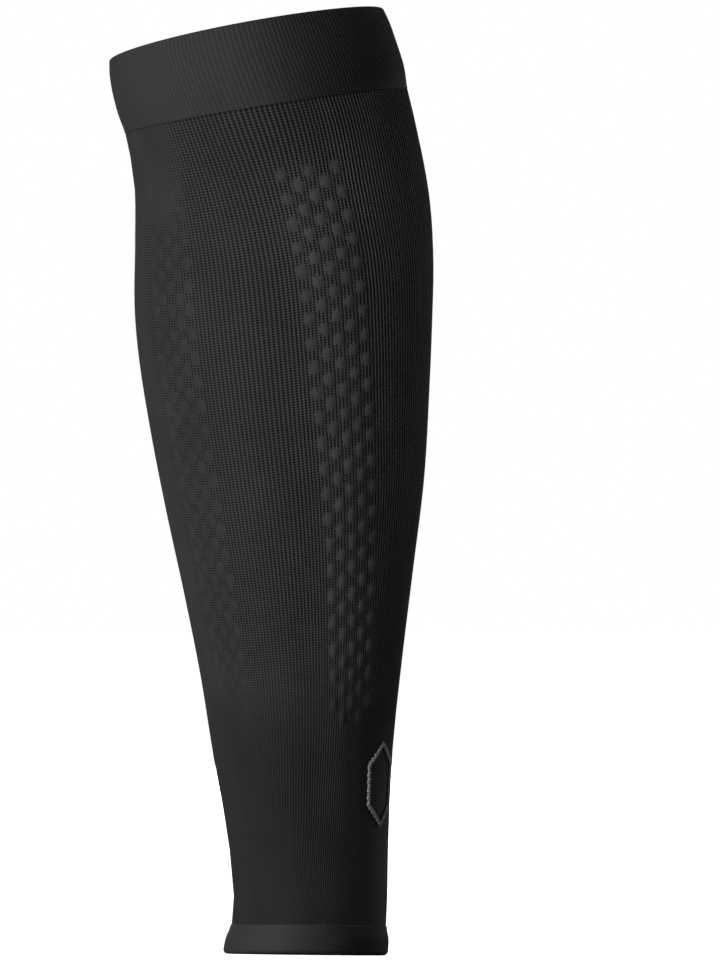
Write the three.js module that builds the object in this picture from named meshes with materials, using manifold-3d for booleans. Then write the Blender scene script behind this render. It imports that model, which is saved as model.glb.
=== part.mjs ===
// Calf compression sleeve for the left leg, in millimetres, +Z up.
// The shin faces -Y and the outer side of the leg faces +X.
// The origin lies on the leg's axis at the fullest line of the calf.
import * as THREE from "three";
import { mergeGeometries, mergeVertices } from "three/addons/utils/BufferGeometryUtils.js";
import Module from "manifold-3d";

const wasm = await Module();
wasm.setup();

// Leg that fills the sleeve
const CALF_WIDTH = 116;
const CALF_DEPTH = 118;
const ANKLE_WIDTH = 58;
const ANKLE_DEPTH = 74;
const TOP_WIDTH = 106;
const TOP_DEPTH = 107;
const CALF_ROUNDNESS = 0.08;

// Levels, counted from the fullest line of the calf
const SLEEVE_LENGTH = 354.2;
const HEM_DROP = 257.4;
const TOP_RISE = SLEEVE_LENGTH - HEM_DROP;
const NARROWEST_ABOVE_EDGE = 18.4;
const ANKLE_DROP = HEM_DROP - NARROWEST_ABOVE_EDGE;

// How the leg stands in its sleeve
const TOP_LEAN = -14.9;
const ANKLE_LEAN = 12.3;
const ANKLE_SETBACK = -7;
const HEM_LEAN = -2;
const HEM_FLARE = 1.8;
const TOP_TILT_DEG = 11;
const FRONT_DIP_DEG = 6;
const KNIT_TURN_DEG = 16;

// Knitted walls
const KNIT_WALL = 1.2;
const SEAM_GAP = 0.3;

// Top welt: a doubled band that laps over the end of the body
const WELT_HEIGHT = 30;
const WELT_LAYER = 0.9;
const WELT_LAP = 6;
const WELT_FOOT = TOP_RISE - WELT_HEIGHT;

// Ankle hem
const HEM_HEIGHT = 11.4;
const HEM_LAYER = 1.1;
const HEM_LAP = 4.5;
const HEM_ROUND = 1.6;
const HEM_SHOULDER = 5;
const HEM_TOP = -HEM_DROP + HEM_HEIGHT;

// Massage dots, in staggered columns that follow the ribs
const DOT_WIDTH = 4.6;
const DOT_HEIGHT = 4.6;
const DOT_RISE = 0.6;
const DOT_TOP_SHARE = 0.62;
const DOT_ROOT = 0.5;
const DOT_COLUMNS = 5;
const DOT_ROWS = 22;
const DOT_COLUMN_PITCH = 5.7;
const DOT_TOP_PITCH = 8.7;
const DOT_FOOT_PITCH = 10.7;
const DOTS_BELOW_WELT = 24.3;

// Grey stripes over the tendon
const STRIPE_TOP_WIDTH = 5.6;
const STRIPE_ANKLE_WIDTH = 4.3;
const STRIPE_SPACING_DEG = 20;
const SKIN_LAYER = 0.5;
const MIDDLE_STRIPE_LENGTH = 113;

// Plain outline beside the ankle
const MARK_ANGLE_DEG = 74;
const MARK_FOOT = 49;
const MARK_HEIGHT = 32;
const MARK_WIDTH = 19;
const MARK_STROKE = 1.5;

// Plain lozenges down the back of the calf
const LOZENGE_COUNT = 10;
const LOZENGE_WIDTH = 24;
const LOZENGE_HEIGHT = 8.6;
const LOZENGE_PITCH = 11;
const LOZENGES_BELOW_WELT = 12.8;

// Facets
const AROUND = 40;
const AROUND_INSIDE = 24;
const BODY_LEVELS = 16;
const BODY_LEVELS_INSIDE = 12;
const DOT_SIDES = 4;
const WELT_LEVELS = 3;
const FOLD_STEPS = 4;

// Below the calf. way: from the ankle's narrowest line up to the calf; full: from ankle width up to calf
// width; deep: the same for the depth; lean, back: share of the ankle's; tilt, dip, turn: share of the
// whole sleeve's.
const LOWER_LEG = [
  { way: 0.0, full: 0.0, deep: 0.0, lean: 1.0, back: 1.0, tilt: 0.0, dip: -0.5, turn: 0.4 },
  { way: 0.12, full: 0.055, deep: 0.03, lean: 0.93, back: 1.05, tilt: 0.08, dip: -0.1, turn: 0.4 },
  { way: 0.25, full: 0.18, deep: 0.13, lean: 0.77, back: 1.06, tilt: 0.2, dip: 0.2, turn: 0.37 },
  { way: 0.38, full: 0.325, deep: 0.29, lean: 0.7, back: 0.96, tilt: 0.35, dip: 0.5, turn: 0.31 },
  { way: 0.52, full: 0.515, deep: 0.5, lean: 0.58, back: 0.72, tilt: 0.48, dip: 0.75, turn: 0.22 },
  { way: 0.66, full: 0.715, deep: 0.74, lean: 0.42, back: 0.4, tilt: 0.55, dip: 0.95, turn: 0.12 },
  { way: 0.8, full: 0.865, deep: 0.9, lean: 0.2, back: 0.12, tilt: 0.58, dip: 1.0, turn: 0.03 },
  { way: 0.92, full: 0.965, deep: 0.98, lean: 0.05, back: 0.02, tilt: 0.6, dip: 1.0, turn: -0.05 },
];

// From the calf up. way: from the calf up to the top fold; full, deep: from calf size to top size.
const UPPER_LEG = [
  { way: 0.0, full: 0.0, deep: 0.0, lean: 0.0, tilt: 0.62, dip: 1.0, turn: -0.14 },
  { way: 0.25, full: 0.16, deep: 0.08, lean: 0.04, tilt: 0.66, dip: 0.9, turn: -0.32 },
  { way: 0.5, full: 0.55, deep: 0.25, lean: 0.2, tilt: 0.72, dip: 0.6, turn: -0.5 },
  { way: 0.75, full: 0.66, deep: 0.5, lean: 0.56, tilt: 0.84, dip: 0.25, turn: -0.58 },
  { way: 0.88, full: 0.76, deep: 0.7, lean: 0.8, tilt: 0.93, dip: 0.1, turn: -0.6 },
  { way: 1.0, full: 1.0, deep: 1.0, lean: 1.0, tilt: 1.0, dip: 0.0, turn: -0.6 },
];

function lowerRing(row) {
  return [
    -ANKLE_DROP * (1 - row.way),
    ANKLE_WIDTH + (CALF_WIDTH - ANKLE_WIDTH) * row.full,
    ANKLE_DEPTH + (CALF_DEPTH - ANKLE_DEPTH) * row.deep,
    ANKLE_LEAN * row.lean,
    ANKLE_SETBACK * row.back,
    TOP_TILT_DEG * row.tilt,
    FRONT_DIP_DEG * row.dip,
    KNIT_TURN_DEG * row.turn,
  ];
}

function upperRing(row) {
  return [
    TOP_RISE * row.way,
    CALF_WIDTH + (TOP_WIDTH - CALF_WIDTH) * row.full,
    CALF_DEPTH + (TOP_DEPTH - CALF_DEPTH) * row.deep,
    TOP_LEAN * row.lean,
    0,
    TOP_TILT_DEG * row.tilt,
    FRONT_DIP_DEG * row.dip,
    KNIT_TURN_DEG * row.turn,
  ];
}

// The lower edge of the hem flares out of the narrowest ring of the ankle
function hemRing() {
  const [, width, depth, lean, back, ...turns] = lowerRing(LOWER_LEG[0]);
  return [-HEM_DROP, width + HEM_FLARE, depth + HEM_FLARE, lean + HEM_LEAN, back, ...turns];
}

const RINGS = [hemRing(), ...LOWER_LEG.map(lowerRing), ...UPPER_LEG.map(upperRing)];
const levels = RINGS.map((ring) => ring[0]);
const ringSizes = RINGS.flatMap((ring) => ring.slice(1));
const legShape = new THREE.CubicInterpolant(levels, ringSizes, RINGS[0].length - 1);

function ringAt(rise) {
  const [width, depth, x, y, tilt, dip, turn] = legShape.evaluate(rise);
  const lie = new THREE.Euler(THREE.MathUtils.degToRad(dip), THREE.MathUtils.degToRad(-tilt), 0);
  return { width, depth, place: new THREE.Vector3(x, y, rise), lie, turn };
}

// A point of the sleeve: rise above the calf line, angle from the shin toward the outer side of the leg,
// and distance out from the knit's outer face
function legPoint(rise, angleDeg, out = 0) {
  const ring = ringAt(rise);
  const angle = THREE.MathUtils.degToRad(angleDeg + ring.turn);
  const side = Math.sin(angle);
  const front = Math.cos(angle);
  const egg = 1 - CALF_ROUNDNESS * front;
  const x = (ring.width / 2) * side * egg;
  const y = (-ring.depth / 2) * front;
  const slopeX = (ring.width / 2) * (front * egg + CALF_ROUNDNESS * side * side);
  const slopeY = (ring.depth / 2) * side;
  const length = Math.hypot(slopeX, slopeY);
  const flat = new THREE.Vector3(x + (out * slopeY) / length, y - (out * slopeX) / length, 0);
  return flat.applyEuler(ring.lie).add(ring.place);
}

// Degrees round the leg that a length along the knit takes at a level
function degreesAround(length, rise) {
  const ring = ringAt(rise);
  return THREE.MathUtils.radToDeg((4 * length) / (ring.width + ring.depth));
}

function steps(count, from, to) {
  return Array.from({ length: count + 1 }, (_, i) => THREE.MathUtils.lerp(from, to, i / count));
}

function ringLoop(rise, out, sides) {
  return Array.from({ length: sides }, (_, i) => legPoint(rise, (360 * i) / sides, out));
}

// Skin through loops of equal length: a closed loft joins its last loop to its first, an open one has
// end faces
function loft(loops, closed = false) {
  const sides = loops[0].length;
  const bands = closed ? loops.length : loops.length - 1;
  const faces = [];
  for (let band = 0; band < bands; band += 1) {
    const low = band * sides;
    const high = ((band + 1) % loops.length) * sides;
    for (let i = 0; i < sides; i += 1) {
      const next = (i + 1) % sides;
      faces.push(low + i, low + next, high + next, low + i, high + next, high + i);
    }
  }
  if (!closed) {
    const last = (loops.length - 1) * sides;
    for (let i = 1; i < sides - 1; i += 1) {
      faces.push(0, i + 1, i, last, last + i, last + i + 1);
    }
  }
  const geometry = new THREE.BufferGeometry().setFromPoints(loops.flat());
  geometry.setIndex(faces);
  return geometry;
}

function solidOf(geometry) {
  const merged = mergeVertices(geometry);
  const vertProperties = Float32Array.from(merged.attributes.position.array);
  const triVerts = Uint32Array.from(merged.index.array);
  return new wasm.Manifold(new wasm.Mesh({ numProp: 3, vertProperties, triVerts }));
}

function geometryOf(solid) {
  const mesh = solid.getMesh();
  const geometry = new THREE.BufferGeometry();
  geometry.setAttribute("position", new THREE.BufferAttribute(mesh.vertProperties, 3));
  geometry.setIndex(new THREE.BufferAttribute(mesh.triVerts, 1));
  return geometry;
}

function tube(outsideLevels, insideLevels, wall) {
  const outside = outsideLevels.map((rise) => ringLoop(rise, 0, AROUND));
  const inside = insideLevels.map((rise) => ringLoop(rise, -wall, AROUND_INSIDE));
  return solidOf(loft(outside)).subtract(solidOf(loft(inside)));
}

function massageDot(rise, angleDeg) {
  const halfAngle = degreesAround(DOT_WIDTH / 2, 0);
  const loopAt = (out, share) =>
    Array.from({ length: DOT_SIDES }, (_, i) => {
      const turn = (2 * Math.PI * i) / DOT_SIDES;
      const across = Math.cos(turn) * halfAngle * share;
      const up = Math.sin(turn) * (DOT_HEIGHT / 2) * share;
      return legPoint(rise + up, angleDeg + across, out);
    });
  return loft([loopAt(-DOT_ROOT, 1), loopAt(DOT_RISE, DOT_TOP_SHARE)]);
}

// Panels either side of the shin: angle of the middle column at the top row, drift of the columns down
// to the bottom row, both in degrees toward the outer side, and pitch as a share of the columns' pitch
const DOT_PANELS = [
  { angle: -35, drift: -2, pitch: 0.92 },
  { angle: 35.7, drift: 8, pitch: 1.05 },
];

function panelDots(panel) {
  const columnAngle = degreesAround(DOT_COLUMN_PITCH * panel.pitch, 0);
  const dots = [];
  for (let column = 0; column < DOT_COLUMNS; column += 1) {
    const aside = (column - (DOT_COLUMNS - 1) / 2) * columnAngle;
    for (let row = 0; row < DOT_ROWS; row += 1) {
      const place = row + (column % 2) / 2;
      const way = place / DOT_ROWS;
      const drop = place * THREE.MathUtils.lerp(DOT_TOP_PITCH, DOT_FOOT_PITCH, way / 2);
      dots.push(massageDot(WELT_FOOT - DOTS_BELOW_WELT - drop, panel.angle + panel.drift * way + aside));
    }
  }
  return dots;
}

const OPEN_LEVELS = steps(BODY_LEVELS, HEM_TOP, WELT_FOOT);

function knitBody() {
  const from = HEM_TOP - HEM_LAP;
  const to = WELT_FOOT + WELT_LAP;
  const outsideLevels = [from, ...OPEN_LEVELS, to];
  const insideLevels = steps(BODY_LEVELS_INSIDE, from - KNIT_WALL, to + KNIT_WALL);
  const dots = mergeGeometries(DOT_PANELS.flatMap(panelDots));
  return geometryOf(tube(outsideLevels, insideLevels, KNIT_WALL).add(solidOf(dots)));
}

// A band round the leg from a profile of points: rise, out
function band(profile) {
  const loops = Array.from({ length: AROUND }, (_, i) => {
    const angle = (-360 * i) / AROUND;
    return profile.map(([rise, out]) => legPoint(rise, angle, out));
  });
  return loft(loops, true);
}

function topWelt() {
  const ledge = WELT_FOOT + WELT_LAP + SEAM_GAP;
  const face = SEAM_GAP + WELT_LAYER;
  const foldRadius = (face + KNIT_WALL) / 2;
  const bend = TOP_RISE - foldRadius;
  const fold = steps(FOLD_STEPS, 0, Math.PI).map((turn) => [
    bend + foldRadius * Math.sin(turn),
    face - foldRadius + foldRadius * Math.cos(turn),
  ]);
  const outerFace = steps(WELT_LEVELS, WELT_FOOT, bend).slice(0, -1).map((rise) => [rise, face]);
  const innerFace = steps(WELT_LEVELS, bend, ledge).slice(1).map((rise) => [rise, -KNIT_WALL]);
  return band([[WELT_FOOT, SEAM_GAP], ...outerFace, ...fold, ...innerFace, [ledge, SEAM_GAP]]);
}

function ankleHem() {
  const foot = -HEM_DROP;
  const ledge = HEM_TOP - HEM_LAP - SEAM_GAP;
  const face = SEAM_GAP + HEM_LAYER;
  return band([
    [HEM_TOP, SEAM_GAP],
    [ledge, SEAM_GAP],
    [ledge, -KNIT_WALL],
    [foot + HEM_ROUND / 2, -KNIT_WALL],
    [foot, -KNIT_WALL + HEM_ROUND / 2],
    [foot, face - HEM_ROUND],
    [foot + HEM_ROUND * 0.3, face - HEM_ROUND * 0.3],
    [foot + HEM_ROUND, face],
    [HEM_TOP - HEM_SHOULDER, face],
    [HEM_TOP - HEM_SHOULDER / 2, face - HEM_LAYER / 3],
    [HEM_TOP, SEAM_GAP + HEM_LAYER / 3],
  ]);
}

// Thin skins lie just off the knit: each station gives the four corners of the skin's section
function skinStation(corners) {
  const off = SEAM_GAP;
  const [[riseA, angleA], [riseB, angleB]] = corners;
  return [
    legPoint(riseA, angleA, off),
    legPoint(riseB, angleB, off),
    legPoint(riseB, angleB, off + SKIN_LAYER),
    legPoint(riseA, angleA, off + SKIN_LAYER),
  ];
}

// place: which stripe counted from the middle; length: share of the middle stripe's
const TENDON_STRIPES = [
  { place: -2, length: 0.7, width: 0.72 },
  { place: -1, length: 0.88, width: 0.95 },
  { place: 0, length: 1.0, width: 1.0 },
  { place: 1, length: 0.88, width: 0.95 },
  { place: 2, length: 0.7, width: 0.72 },
];

function tendonStripe({ place, length, width }) {
  const foot = HEM_TOP + SEAM_GAP;
  const tall = MIDDLE_STRIPE_LENGTH * length;
  const angle = 180 + place * STRIPE_SPACING_DEG;
  const between = OPEN_LEVELS.filter((rise) => rise > foot && rise < foot + tall);
  const stations = [foot, ...between, foot + tall].map((rise) => {
    const way = (rise - foot) / tall;
    const across = THREE.MathUtils.lerp(STRIPE_ANKLE_WIDTH, STRIPE_TOP_WIDTH, way) * width;
    const half = degreesAround(across / 2, rise);
    return skinStation([[rise, angle + half], [rise, angle - half]]);
  });
  return loft(stations);
}

// Six-sided outline, taller than wide: each corner as shares of its half width and half height
const MARK_CORNERS = [
  { across: 0, up: 1 },
  { across: -1, up: 0.5 },
  { across: -1, up: -0.5 },
  { across: 0, up: -1 },
  { across: 1, up: -0.5 },
  { across: 1, up: 0.5 },
];
const MARK_STEPS = 3;

function markPath(halfWidth, halfHeight) {
  const middle = -HEM_DROP + MARK_FOOT + MARK_HEIGHT / 2;
  return MARK_CORNERS.flatMap((corner, i) => {
    const next = MARK_CORNERS[(i + 1) % MARK_CORNERS.length];
    return steps(MARK_STEPS, 0, 1).slice(0, -1).map((way) => {
      const rise = middle + THREE.MathUtils.lerp(corner.up, next.up, way) * halfHeight;
      const across = THREE.MathUtils.lerp(corner.across, next.across, way) * halfWidth;
      return [rise, MARK_ANGLE_DEG + degreesAround(across, middle)];
    });
  });
}

function ankleMark() {
  const outer = markPath(MARK_WIDTH / 2, MARK_HEIGHT / 2);
  const inner = markPath(MARK_WIDTH / 2 - MARK_STROKE, MARK_HEIGHT / 2 - MARK_STROKE);
  return loft(outer.map((point, i) => skinStation([point, inner[i]])), true);
}

const LOZENGE_STATIONS = [-1, -0.6, -0.3, 0, 0.3, 0.6, 1];
const LOZENGE_TIP_SHARE = 0.12;

function calfLozenge(index) {
  const middle = WELT_FOOT - LOZENGES_BELOW_WELT - index * LOZENGE_PITCH;
  const half = degreesAround(LOZENGE_WIDTH / 2, middle);
  const stations = LOZENGE_STATIONS.map((way) => {
    const tall = Math.max(LOZENGE_TIP_SHARE, 1 - Math.abs(way)) * (LOZENGE_HEIGHT / 2);
    const angle = 180 + way * half;
    return skinStation([[middle - tall, angle], [middle + tall, angle]]);
  });
  return loft(stations);
}

// Finishes
const knitBlack = new THREE.MeshStandardMaterial({ color: 0x1b1b1d, roughness: 0.9, metalness: 0 });
const stripeGrey = new THREE.MeshStandardMaterial({ color: 0x66666a, roughness: 0.9, metalness: 0 });
const markGrey = new THREE.MeshStandardMaterial({ color: 0x77777b, roughness: 0.8, metalness: 0 });
const lozengeRed = new THREE.MeshStandardMaterial({ color: 0xc4161f, roughness: 0.7, metalness: 0 });
const lozengeDark = new THREE.MeshStandardMaterial({ color: 0x383843, roughness: 0.7, metalness: 0 });

function piece(name, geometry, material) {
  const mesh = new THREE.Mesh(geometry, material);
  mesh.name = name;
  return mesh;
}

const sleeve = new THREE.Group();
sleeve.add(piece("knit_body", knitBody(), knitBlack));
sleeve.add(piece("top_welt", topWelt(), knitBlack));
sleeve.add(piece("ankle_hem", ankleHem(), knitBlack));
TENDON_STRIPES.forEach((stripe, i) => {
  sleeve.add(piece(`tendon_stripe_${i + 1}`, tendonStripe(stripe), stripeGrey));
});
sleeve.add(piece("ankle_mark", ankleMark(), markGrey));
for (let i = 0; i < LOZENGE_COUNT; i += 1) {
  const material = i < LOZENGE_COUNT / 2 ? lozengeRed : lozengeDark;
  sleeve.add(piece(`calf_lozenge_${i + 1}`, calfLozenge(i), material));
}

export default sleeve;
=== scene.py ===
import math

import bmesh
import bpy
import numpy as np
from bpy.props import FloatProperty, FloatVectorProperty, IntProperty, PointerProperty
from mathutils import Matrix, Vector


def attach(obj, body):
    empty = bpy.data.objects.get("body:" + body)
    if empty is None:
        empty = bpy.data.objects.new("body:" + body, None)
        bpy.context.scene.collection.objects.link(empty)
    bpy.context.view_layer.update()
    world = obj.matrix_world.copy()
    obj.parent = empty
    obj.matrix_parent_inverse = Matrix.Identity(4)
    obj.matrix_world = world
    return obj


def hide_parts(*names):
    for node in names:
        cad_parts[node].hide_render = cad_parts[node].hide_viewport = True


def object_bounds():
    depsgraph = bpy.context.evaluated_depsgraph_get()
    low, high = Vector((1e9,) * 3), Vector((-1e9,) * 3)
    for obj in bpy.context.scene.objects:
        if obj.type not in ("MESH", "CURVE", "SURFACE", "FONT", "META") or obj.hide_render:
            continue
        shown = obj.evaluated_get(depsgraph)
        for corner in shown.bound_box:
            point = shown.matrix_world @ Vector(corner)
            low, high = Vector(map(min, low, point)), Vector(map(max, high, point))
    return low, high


bl_info = {
    "name": "Calf compression sleeve",
    "version": (1, 0, 0),
    "blender": (4, 5, 0),
    "location": "View3D > Sidebar > Sleeve",
    "description": "Knitted calf sleeve with massage dots, built around its packed solids",
    "category": "Object",
}

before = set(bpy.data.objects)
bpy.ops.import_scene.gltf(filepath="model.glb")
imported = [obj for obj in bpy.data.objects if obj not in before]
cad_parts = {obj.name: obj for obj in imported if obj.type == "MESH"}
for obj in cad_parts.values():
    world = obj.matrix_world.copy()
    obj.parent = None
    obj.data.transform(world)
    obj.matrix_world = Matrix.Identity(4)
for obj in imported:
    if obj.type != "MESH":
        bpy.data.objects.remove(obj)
CAD_BOX = [list(corner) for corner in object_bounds()]

MM = 0.001

# Leg that fills the sleeve, in millimetres, as in the part's source
CALF_WIDTH, CALF_DEPTH = 116.0, 118.0
ANKLE_WIDTH, ANKLE_DEPTH = 58.0, 74.0
TOP_WIDTH, TOP_DEPTH = 106.0, 107.0
CALF_ROUNDNESS = 0.08
TOP_RISE, HEM_DROP = 96.8, 257.4
ANKLE_DROP = HEM_DROP - 18.4
TOP_LEAN, ANKLE_LEAN, ANKLE_SETBACK = -14.9, 12.3, -7.0
HEM_LEAN, HEM_FLARE = -2.0, 1.8
TOP_TILT, FRONT_DIP, KNIT_TURN = 11.0, 6.0, 16.0
KNIT_WALL, SEAM_GAP = 1.2, 0.3
WELT_HEIGHT, WELT_LAYER, WELT_LAP = 30.0, 0.9, 6.0
WELT_FOOT = TOP_RISE - WELT_HEIGHT
HEM_HEIGHT, HEM_LAYER, HEM_LAP = 11.4, 1.1, 4.5
HEM_TOP = -HEM_DROP + HEM_HEIGHT

# way, full, deep, lean, back, tilt, dip, turn, from the ankle up to the calf
LOWER_LEG = (
    (0.0, 0.0, 0.0, 1.0, 1.0, 0.0, -0.5, 0.4),
    (0.12, 0.055, 0.03, 0.93, 1.05, 0.08, -0.1, 0.4),
    (0.25, 0.18, 0.13, 0.77, 1.06, 0.2, 0.2, 0.37),
    (0.38, 0.325, 0.29, 0.7, 0.96, 0.35, 0.5, 0.31),
    (0.52, 0.515, 0.5, 0.58, 0.72, 0.48, 0.75, 0.22),
    (0.66, 0.715, 0.74, 0.42, 0.4, 0.55, 0.95, 0.12),
    (0.8, 0.865, 0.9, 0.2, 0.12, 0.58, 1.0, 0.03),
    (0.92, 0.965, 0.98, 0.05, 0.02, 0.6, 1.0, -0.05),
)
# way, full, deep, lean, back, tilt, dip, turn, from the calf up to the top fold
UPPER_LEG = (
    (0.0, 0.0, 0.0, 0.0, 0.0, 0.62, 1.0, -0.14),
    (0.25, 0.16, 0.08, 0.04, 0.0, 0.66, 0.9, -0.32),
    (0.5, 0.55, 0.25, 0.2, 0.0, 0.72, 0.6, -0.5),
    (0.75, 0.66, 0.5, 0.56, 0.0, 0.84, 0.25, -0.58),
    (0.88, 0.76, 0.7, 0.8, 0.0, 0.93, 0.1, -0.6),
    (1.0, 1.0, 1.0, 1.0, 0.0, 1.0, 0.0, -0.6),
)

# Lean of the ribs, in degrees for each millimetre: rise, inner side, outer side
RIB_LEAN = (
    (-260.0, 0.17, 0.17),
    (-190.0, 0.15, 0.15),
    (-160.0, 0.0, 0.0),
    (5.0, 0.0, 0.0),
    (17.0, -0.05, -0.05),
    (29.0, -0.095, 0.02),
    (40.0, -0.17, 0.1),
    (52.0, -0.22, 0.04),
    (69.0, -0.15, -0.15),
    (81.0, -0.12, -0.12),
    (97.0, -0.07, -0.07),
)

# How close together the ribs are at each angle from the shin
RIB_CLOSENESS = (
    (-180.0, 1.0),
    (-60.0, 1.1),
    (-30.0, 1.14),
    (-16.0, 0.94),
    (12.0, 0.92),
    (24.0, 1.13),
    (72.0, 1.13),
    (100.0, 1.0),
    (180.0, 1.0),
)
COLUMNS_PER_RIB = 4

# Massage dots: middle column's angle, drift to the foot, pitch share
DOT_PANELS = ((-35.0, -2.0, 0.92), (35.7, 8.0, 1.05))
DOT_COLUMNS, DOT_ROWS = 5, 22
DOT_COLUMN_PITCH, DOT_TOP_PITCH, DOT_FOOT_PITCH = 5.7, 8.7, 10.7
FIRST_DOT_RISE = WELT_FOOT - 24.3

# Tendon stripes: place from the middle, length share, width share
TENDON_STRIPES = ((-2, 0.7, 0.72), (-1, 0.88, 0.95), (0, 1.0, 1.0), (1, 0.88, 0.95), (2, 0.7, 0.72))
STRIPE_SPACING, STRIPE_LENGTH = 20.0, 113.0
STRIPE_TOP_WIDTH, STRIPE_ANKLE_WIDTH = 5.6, 4.3

# Six-sided outline beside the ankle
MARK_CORNERS = ((0, 1), (-1, 0.5), (-1, -0.5), (0, -1), (1, -0.5), (1, 0.5))
MARK_ANGLE, MARK_WIDTH, MARK_HEIGHT, MARK_STROKE = 74.0, 19.0, 32.0, 1.5
MARK_RISE = -HEM_DROP + 49.0 + MARK_HEIGHT / 2

# Lozenges down the back of the calf
LOZENGE_COUNT, LOZENGE_RED_COUNT = 10, 5
LOZENGE_WIDTH, LOZENGE_HEIGHT, LOZENGE_PITCH = 24.0, 8.6, 11.0
FIRST_LOZENGE_RISE = WELT_FOOT - 12.8


def leg_rings():
    """Levels of the leg's rings, and each one's width, depth, lean, setback, tilt, dip and turn."""
    rows = []
    for way, full, deep, lean, back, tilt, dip, turn in LOWER_LEG:
        width = ANKLE_WIDTH + (CALF_WIDTH - ANKLE_WIDTH) * full
        depth = ANKLE_DEPTH + (CALF_DEPTH - ANKLE_DEPTH) * deep
        pose = (ANKLE_LEAN * lean, ANKLE_SETBACK * back, TOP_TILT * tilt, FRONT_DIP * dip, KNIT_TURN * turn)
        rows.append((-ANKLE_DROP * (1 - way), width, depth, *pose))
    first = rows[0]
    hem = (-HEM_DROP, first[1] + HEM_FLARE, first[2] + HEM_FLARE, first[3] + HEM_LEAN, *first[4:])
    rows.insert(0, hem)
    for way, full, deep, lean, back, tilt, dip, turn in UPPER_LEG:
        width = CALF_WIDTH + (TOP_WIDTH - CALF_WIDTH) * full
        depth = CALF_DEPTH + (TOP_DEPTH - CALF_DEPTH) * deep
        pose = (TOP_LEAN * lean, back, TOP_TILT * tilt, FRONT_DIP * dip, KNIT_TURN * turn)
        rows.append((TOP_RISE * way, width, depth, *pose))
    table = np.array(rows, float)
    return table[:, 0], table[:, 1:]


RING_RISE, RING_SIZES = leg_rings()


def ring_at(rise):
    """The ring at each rise, on the same smooth curve through the table as the part's source."""
    rise = np.clip(np.asarray(rise, float), RING_RISE[0], RING_RISE[-1])
    last = len(RING_RISE) - 1
    high = np.clip(np.searchsorted(RING_RISE, rise, side="right"), 1, last)
    low = high - 1
    t0, t1 = RING_RISE[low], RING_RISE[high]
    before, after = low - 1, high + 1
    t_before = np.where(before < 0, t1, RING_RISE[np.maximum(before, 0)])
    before = np.where(before < 0, high, before)
    t_after = np.where(after > last, t0, RING_RISE[np.minimum(after, last)])
    after = np.where(after > last, low, after)
    half = (t1 - t0) / 2
    wb, wa = half / (t0 - t_before), half / (t_after - t1)
    p = (rise - t0) / (t1 - t0)
    weights = (
        -wb * p**3 + 2 * wb * p**2 - wb * p,
        (1 + wb) * p**3 + (-1.5 - 2 * wb) * p**2 + (wb - 0.5) * p + 1,
        (-1 - wa) * p**3 + (1.5 + wa) * p**2 + 0.5 * p,
        wa * p**3 - wa * p**2,
    )
    parts = (before, low, high, after)
    return sum(w[..., None] * RING_SIZES[i] for w, i in zip(weights, parts))


def leg_points(rise, angle, out):
    """Points of the sleeve in metres: rise and out in millimetres, angle in degrees from the shin."""
    rise, angle, out = np.broadcast_arrays(*(np.asarray(v, float) for v in (rise, angle, out)))
    width, depth, lean, back, tilt, dip, turn = np.moveaxis(ring_at(rise), -1, 0)
    around = np.radians(angle + turn)
    side, front = np.sin(around), np.cos(around)
    egg = 1 - CALF_ROUNDNESS * front
    slope_x = width / 2 * (front * egg + CALF_ROUNDNESS * side**2)
    slope_y = depth / 2 * side
    length = np.hypot(slope_x, slope_y)
    x = width / 2 * side * egg + out * slope_y / length
    y = -depth / 2 * front - out * slope_x / length
    tilt, dip = np.radians(tilt), np.radians(dip)
    z = x * np.sin(tilt)
    turned_y = y * np.cos(dip) - z * np.sin(dip)
    turned_z = z * np.cos(dip) + y * np.sin(dip)
    return np.stack([x * np.cos(tilt) + lean, turned_y + back, turned_z + rise], -1) * MM


def degrees_around(length, rise):
    """Degrees round the leg that a length along the knit takes at a level."""
    ring = ring_at(rise)
    return np.degrees(4 * length / (ring[..., 0] + ring[..., 1]))


def ramp(low, high, value):
    """0 before low, 1 after high, smooth between; high may be the smaller one."""
    t = np.clip((value - low) / (high - low), 0, 1)
    return t * t * (3 - 2 * t)


def rib_drift(rise, angle):
    """Degrees that a rib has drifted round the leg at a rise, more at the inner side than the outer."""
    level = np.arange(-260.0, 100.0, 0.5)
    table = np.array(RIB_LEAN)
    inner = np.cumsum(np.interp(level, table[:, 0], table[:, 1])) * 0.5
    outer = np.cumsum(np.interp(level, table[:, 0], table[:, 2])) * 0.5
    inner = inner - np.interp(0.0, level, inner)
    outer = outer - np.interp(0.0, level, outer)
    share = (1 - ramp(8, 42, angle)) * ramp(-180, -90, angle)
    return share * np.interp(rise, level, inner) + (1 - share) * np.interp(rise, level, outer)


def rib_columns(ribs):
    """Angles of the mesh's columns, four to a rib, and each one's place between valley and crest."""
    level = np.linspace(-180.0, 180.0, 1441)
    closeness = np.interp(level, *np.array(RIB_CLOSENESS).T)
    passed = np.concatenate([[0.0], np.cumsum(closeness[1:] + closeness[:-1])])
    column = np.arange(ribs * COLUMNS_PER_RIB)
    angles = np.interp(column / len(column) * passed[-1], passed, level)
    return angles, 0.5 + 0.5 * np.cos(2 * np.pi * column / COLUMNS_PER_RIB)


def dot_row(rise):
    """Which row of dots a rise is at: 0 at the first row, counted down."""
    drop = FIRST_DOT_RISE - np.asarray(rise, float)
    grow = (DOT_FOOT_PITCH - DOT_TOP_PITCH) / (2 * DOT_ROWS)
    inside = np.maximum(DOT_TOP_PITCH**2 + 4 * grow * drop, 0)
    return (np.sqrt(inside) - DOT_TOP_PITCH) / (2 * grow)


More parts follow.
